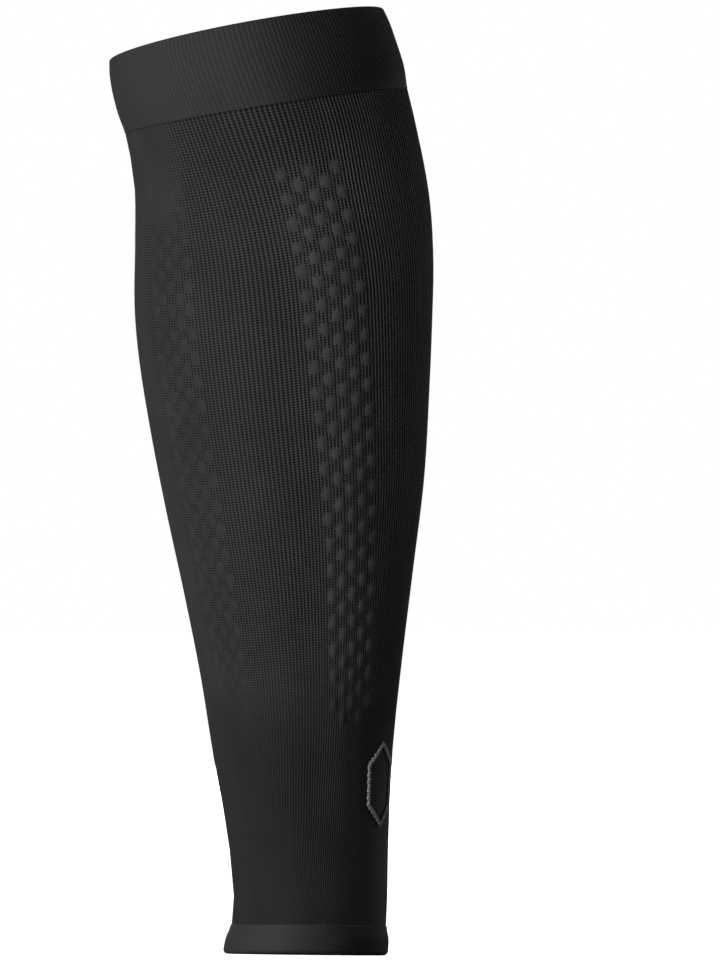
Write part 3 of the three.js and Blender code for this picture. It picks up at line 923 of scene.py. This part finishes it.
class SLEEVE_OT_hem(bpy.types.Operator):
    """Builds the thick hem at the ankle end"""

    bl_idname = "sleeve.hem"
    bl_label = "Ankle hem"

    def execute(self, context):
        settings = context.scene.sleeve_knit
        face = SEAM_GAP + HEM_LAYER
        foot = -HEM_DROP
        ledge = HEM_TOP - HEM_LAP - SEAM_GAP
        profile = [(HEM_TOP - 1.0, SEAM_GAP + 0.02, 0.0), (ledge, SEAM_GAP, 0.0)]
        profile += [(ledge - 0.4, -KNIT_WALL, 0.2)]
        profile += [(r, -KNIT_WALL, 0.3) for r in np.linspace(ledge - 1.5, foot + 1.4, 3)]
        profile += rounded(foot + 0.8, -KNIT_WALL + 0.8, 0.8, 200, 270, 4, 0.3)
        profile += rounded(foot + 1.9, face - 1.9, 1.9, 270, 360, 8, 0.6)
        profile += [(r, face, 1.0) for r in np.linspace(foot + 2.6, HEM_TOP - 6.4, 5)]
        shoulder = ((5.2, 0.93), (4.2, 0.78), (3.3, 0.58), (2.4, 0.37))
        shoulder += ((1.5, 0.2), (0.7, 0.08), (0.1, 0.0))
        profile += [(HEM_TOP - drop, SEAM_GAP + HEM_LAYER * out, out) for drop, out in shoulder]

        # How deep the hem's ribs stand, and how much painted shade its knit gets: most at the outer side.
        def rib_show(angle):
            front = 0.55 * ramp(-30, 20, angle) + 0.3 * ramp(12, 62, angle)
            return 0.15 + front * ramp(175, 120, angle)

        def lift(rise, angle, wave):
            swell = 0.06 * np.sin(np.radians(angle * 5 + 70)) + 0.05 * np.sin(np.radians(angle * 11))
            return -0.12 * wave * rib_show(angle) + swell

        material = band_material("Thick knit of the hem", settings.black, 0.3, 0.16)
        piece = ring_band("ankle_band", profile, settings.ribs, material, lift, rib_show)
        dress(piece, "welt_black", "ankle_hem")
        return {"FINISHED"}


def skin_patch(name, left, right, rises, across, thickness, maps, material, edge=0.25):
    """A thin padded patch on the knit between two edges given as angles at each rise."""
    count = across + 1
    share = np.linspace(0, 1, count)
    angle = left[:, None] + (right - left)[:, None] * share[None, :]
    rise = np.repeat(rises[:, None], count, 1)
    crown = 1 - np.abs(2 * share - 1) ** 4
    ends = np.ones(len(rises))
    ends[[0, -1]] = 0.35
    ends[[1, -2]] = 0.85
    top = SEAM_GAP - 0.1 + thickness * (edge + (1 - edge) * crown[None, :] * ends[:, None])
    upper = leg_points(rise, angle, top)
    lower = leg_points(rise, angle, np.full_like(top, SEAM_GAP - 0.22))
    rows = len(rises)
    points = np.concatenate([upper.reshape(-1, 3), lower.reshape(-1, 3)])
    base = rows * count
    uv = np.stack(maps(rise, angle), -1).reshape(-1, 2)
    uv = np.concatenate([uv, uv])
    faces = []
    for r in range(rows - 1):
        for c in range(across):
            a = r * count + c
            faces.append((a, a + 1, a + count + 1, a + count))
            faces.append((base + a + 1, base + a, base + a + count, base + a + count + 1))
    for r in range(rows - 1):
        a, b = r * count, r * count + across
        faces.append((base + a, a, a + count, base + a + count))
        faces.append((b, base + b, base + b + count, b + count))
    for c in range(across):
        a, b = c, (rows - 1) * count + c
        faces.append((a + 1, a, base + a, base + a + 1))
        faces.append((b, b + 1, base + b + 1, base + b))
    coords = [uv[i] for face in faces for i in face]
    return new_piece(name, points, faces, {"knit": coords}, material)


class SLEEVE_OT_stripes(bpy.types.Operator):
    """Builds the five padded stripes over the tendon"""

    bl_idname = "sleeve.stripes"
    bl_label = "Tendon stripes"

    def execute(self, context):
        settings = context.scene.sleeve_knit
        material = coloured_material("Grey padded stitches", settings.grey, 0.45, 1.25)
        foot = HEM_TOP + SEAM_GAP
        for i, (place, length, width) in enumerate(TENDON_STRIPES):
            tall = STRIPE_LENGTH * length
            rises = np.arange(foot, foot + tall, 0.49)
            way = (rises - foot) / tall
            wide = (STRIPE_ANKLE_WIDTH + (STRIPE_TOP_WIDTH - STRIPE_ANKLE_WIDTH) * way) * width
            beat = np.arange(len(rises))
            wide = wide * (0.97 + 0.03 * np.where(beat % 4 < 2, 1, -1)) + 0.08 * np.sin(beat * 1.7 + i)
            wide[-1] *= 0.72
            half = degrees_around(wide / 2, rises)
            middle = 180 + place * STRIPE_SPACING

            def maps(rise, angle):
                ring = ring_at(rise)
                round_mm = np.radians(angle - middle) * (ring[..., 0] + ring[..., 1]) / 4
                return round_mm / 1.4, rise / 1.3

            edges = (middle - half, middle + half)
            piece = skin_patch(f"stripe_pad_{i + 1}", *edges, rises, 8, 0.6, maps, material)
            dress(piece, "stripe_grey", f"tendon_stripe_{i + 1}")
        return {"FINISHED"}


class SLEEVE_OT_outline(bpy.types.Operator):
    """Builds the plain six-sided outline beside the ankle"""

    bl_idname = "sleeve.outline"
    bl_label = "Ankle outline"

    def execute(self, context):
        settings = context.scene.sleeve_knit
        material = coloured_material("Grey outline stitches", settings.mark, 0.35, 1.1)
        per_side = 34
        corners = np.array(MARK_CORNERS)[:, None]
        way = np.arange(per_side)[:, None] / per_side
        path = (corners + (np.roll(corners, -1, 0) - corners) * way).reshape(-1, 2)
        half = np.array([MARK_WIDTH, MARK_HEIGHT]) / 2
        outer, inner = path * half, path * (half - MARK_STROKE)
        count = len(path)
        beat = np.arange(count)
        from_middle = beat % per_side - per_side / 2
        jag = 0.14 * np.where(beat % 6 < 3, 1, -1) * (1 - 0.2 * np.exp(-(from_middle**2) / 200.0))
        middle = (outer + inner) / 2
        across = (outer - inner) / np.linalg.norm(outer - inner, axis=1)[:, None]
        section = ((1.0, 0.1), (0.8, 0.38), (0.35, 0.55), (-0.35, 0.55))
        section += ((-0.8, 0.38), (-1.0, 0.1), (0.0, -0.05))
        loops = []
        for side, up in section:
            stitch = 1 + 0.28 * np.sin(2 * np.pi * beat / 5.0) * (up > 0.3)
            spot = middle + across * ((side * MARK_STROKE * 0.58) + jag * 1.5)[:, None]
            angle = MARK_ANGLE + degrees_around(spot[:, 0], MARK_RISE)
            loops.append(leg_points(MARK_RISE + spot[:, 1], angle, SEAM_GAP - 0.15 + up * stitch))
        sides = len(section)
        points = np.stack(loops, 1).reshape(-1, 3)
        faces, coords = closed_grid(np.arange(sides + 1) / 2.5, np.arange(count + 1) / 2.5)
        piece = new_piece("outline_stitching", points, faces, {"knit": coords}, material)
        dress(piece, "mark_grey", "ankle_mark")
        return {"FINISHED"}


class SLEEVE_OT_lozenges(bpy.types.Operator):
    """Builds the plain lozenges down the back of the calf"""

    bl_idname = "sleeve.lozenges"
    bl_label = "Calf lozenges"

    def execute(self, context):
        settings = context.scene.sleeve_knit
        red = coloured_material("Red stitches", settings.red, 0.5, 1.15)
        dark = coloured_material("Dark stitches", settings.dark, 0.55, 1.2)
        course = settings.course / MM
        rib_angle = 360.0 / settings.ribs
        for i in range(LOZENGE_COUNT):
            middle = FIRST_LOZENGE_RISE - i * LOZENGE_PITCH
            full = degrees_around(LOZENGE_WIDTH / 2, middle)
            courses = int(LOZENGE_HEIGHT / course)
            rises, halves = [], []
            for k in range(courses):
                low = middle + (k - courses / 2) * course
                way = abs(k + 0.5 - courses / 2) / (courses / 2)
                half = max(round(full * (1 - way * 0.92) / (rib_angle / 2)), 1) * rib_angle / 2
                rises += [low + 0.04, low + course * 0.35, low + course * 0.7, low + course - 0.02]
                halves += [half * 0.985, half, half, half * 0.985]
            rises, halves = np.array(rises), np.array(halves)

            def maps(rise, angle):
                return angle / rib_angle, rise / course

            material, slot = (red, "lozenge_red") if i < LOZENGE_RED_COUNT else (dark, "lozenge_dark")
            edges = (180 - halves, 180 + halves)
            piece = skin_patch(f"calf_patch_{i + 1}", *edges, rises, 28, 0.35, maps, material)
            dress(piece, slot, f"calf_lozenge_{i + 1}")
        return {"FINISHED"}


# Stage, lights and camera


VIEW_TURN = math.radians(12.0)
VIEW_RIGHT = Vector((math.cos(VIEW_TURN), math.sin(VIEW_TURN), 0.0))
VIEW_AHEAD = Vector((-math.sin(VIEW_TURN), math.cos(VIEW_TURN), 0.0))
VIEW_UP = Vector((0.0, 0.0, 1.0))
FRAME_HEIGHT = 0.3696
SENSOR = 36.0
AIM = VIEW_RIGHT * 0.03022 + VIEW_UP * -0.0751
MIDDLE = Vector((0.0, 0.0, -0.08))
FLOOR_RADIUS, FLOOR_GAP = 9.0, 0.0006

# Lights: name, turn from the camera, rise, distance, size
LIGHTS = (
    ("key", -38, 14, 2.6, (1.1, 1.6)),
    ("rim", 138, 10, 2.4, (0.9, 1.6)),
    ("back", 180, 16, 2.6, (1.1, 1.6)),
)


def look(place, target):
    """A matrix that stands at a place and looks along -Z at a target."""
    back = (place - target).normalized()
    right = VIEW_UP.cross(back).normalized()
    up = back.cross(right)
    turn = Matrix((right, up, back)).transposed().to_4x4()
    return Matrix.Translation(place) @ turn


def area_light(name, place, size, power):
    """A soft rectangular light that shines on the sleeve's middle."""
    data = bpy.data.lights.new(name, "AREA")
    data.shape = "RECTANGLE"
    data.size, data.size_y = size
    data.energy = power
    light = bpy.data.objects.new(name, data)
    light.matrix_world = look(place, MIDDLE)
    light.visible_camera = False
    bpy.context.scene.collection.objects.link(light)


def from_view(turn, rise, distance):
    """A place round the sleeve: turn in degrees to the right of the camera, rise in degrees."""
    turn, rise = math.radians(turn), math.radians(rise)
    flat = -VIEW_AHEAD * math.cos(turn) + VIEW_RIGHT * math.sin(turn)
    return MIDDLE + (flat * math.cos(rise) + VIEW_UP * math.sin(rise)) * distance


def switch_by_camera(tree, kind, dim, seen):
    """The camera sees one shader, and everything else is lit by the dimmer one."""
    camera_ray = add_node(tree, "LightPath").outputs["Is Camera Ray"]
    mix = add_node(tree, "MixShader", camera_ray, dim.outputs[0], seen.outputs[0])
    add_node(tree, kind, mix.outputs[0])


def floor_material():
    """Matt pale floor that the camera sees as white."""
    material = bpy.data.materials.new("Pale floor")
    tree = empty_tree(material)
    paint = add_node(tree, "BsdfDiffuse", (0.8, 0.8, 0.8, 1.0))
    glow = add_node(tree, "Emission", Strength=1.0)
    both = add_node(tree, "AddShader", paint.outputs[0], glow.outputs[0])
    dim = add_node(tree, "BsdfDiffuse", (0.25, 0.25, 0.25, 1.0))
    switch_by_camera(tree, "OutputMaterial", dim, both)
    return material


def studio_world(fill):
    """White to the camera, a dim even light to everything else."""
    world = bpy.data.worlds.new("Studio")
    tree = empty_tree(world)
    seen, dim = (add_node(tree, "Background", (1.0, 1.0, 1.0, 1.0), share) for share in (1.0, fill))
    switch_by_camera(tree, "OutputWorld", dim, seen)
    bpy.context.scene.world = world


class SLEEVE_OT_stage(bpy.types.Operator):
    """Sets the pale floor, the soft studio lights and the camera at the photograph's angle"""

    bl_idname = "sleeve.stage"
    bl_label = "Stage"

    def execute(self, context):
        studio = context.scene.sleeve_studio
        mesh = bpy.data.meshes.new("studio_floor")
        flat = bmesh.new()
        bmesh.ops.create_circle(flat, cap_ends=True, segments=96, radius=FLOOR_RADIUS)
        flat.to_mesh(mesh)
        flat.free()
        floor = bpy.data.objects.new("studio_floor", mesh)
        floor.location = (0.0, 0.0, CAD_BOX[0][2] - FLOOR_GAP)
        mesh.materials.append(floor_material())
        context.scene.collection.objects.link(floor)
        studio_world(studio.fill)
        for name, turn, rise, distance, size in LIGHTS:
            area_light(f"{name}_light", from_view(turn, rise, distance), size, getattr(studio, name))
        camera_data = bpy.data.cameras.new("camera")
        camera_data.sensor_width = SENSOR
        camera_data.lens = SENSOR * studio.distance / FRAME_HEIGHT
        camera_data.clip_end = 50.0
        camera = bpy.data.objects.new("camera", camera_data)
        camera.matrix_world = look(AIM - VIEW_AHEAD * studio.distance, AIM)
        context.scene.collection.objects.link(camera)
        context.scene.camera = camera
        context.scene.view_settings.view_transform = "Standard"
        return {"FINISHED"}


class SLEEVE_PT_panel(bpy.types.Panel):
    """Lists the sleeve's pieces and settings"""

    bl_idname = "SLEEVE_PT_panel"
    bl_label = "Calf sleeve"
    bl_space_type = "VIEW_3D"
    bl_region_type = "UI"
    bl_category = "Sleeve"

    def draw(self, context):
        for settings in (context.scene.sleeve_knit, context.scene.sleeve_studio):
            for name in settings.__annotations__:
                self.layout.prop(settings, name)
        for operator in OPERATORS:
            self.layout.operator(operator.bl_idname)


OPERATORS = (
    SLEEVE_OT_body,
    SLEEVE_OT_welt,
    SLEEVE_OT_hem,
    SLEEVE_OT_stripes,
    SLEEVE_OT_outline,
    SLEEVE_OT_lozenges,
    SLEEVE_OT_stage,
)
CLASSES = (KnitSettings, StudioSettings, *OPERATORS, SLEEVE_PT_panel)


def register():
    for cls in CLASSES:
        bpy.utils.register_class(cls)
    bpy.types.Scene.sleeve_knit = PointerProperty(type=KnitSettings)
    bpy.types.Scene.sleeve_studio = PointerProperty(type=StudioSettings)


def unregister():
    del bpy.types.Scene.sleeve_studio
    del bpy.types.Scene.sleeve_knit
    for cls in reversed(CLASSES):
        bpy.utils.unregister_class(cls)


def main():
    register()
    bpy.ops.sleeve.body()
    bpy.ops.sleeve.welt()
    bpy.ops.sleeve.hem()
    bpy.ops.sleeve.stripes()
    bpy.ops.sleeve.outline()
    bpy.ops.sleeve.lozenges()
    bpy.ops.sleeve.stage()


if __name__ == "__main__":
    main()
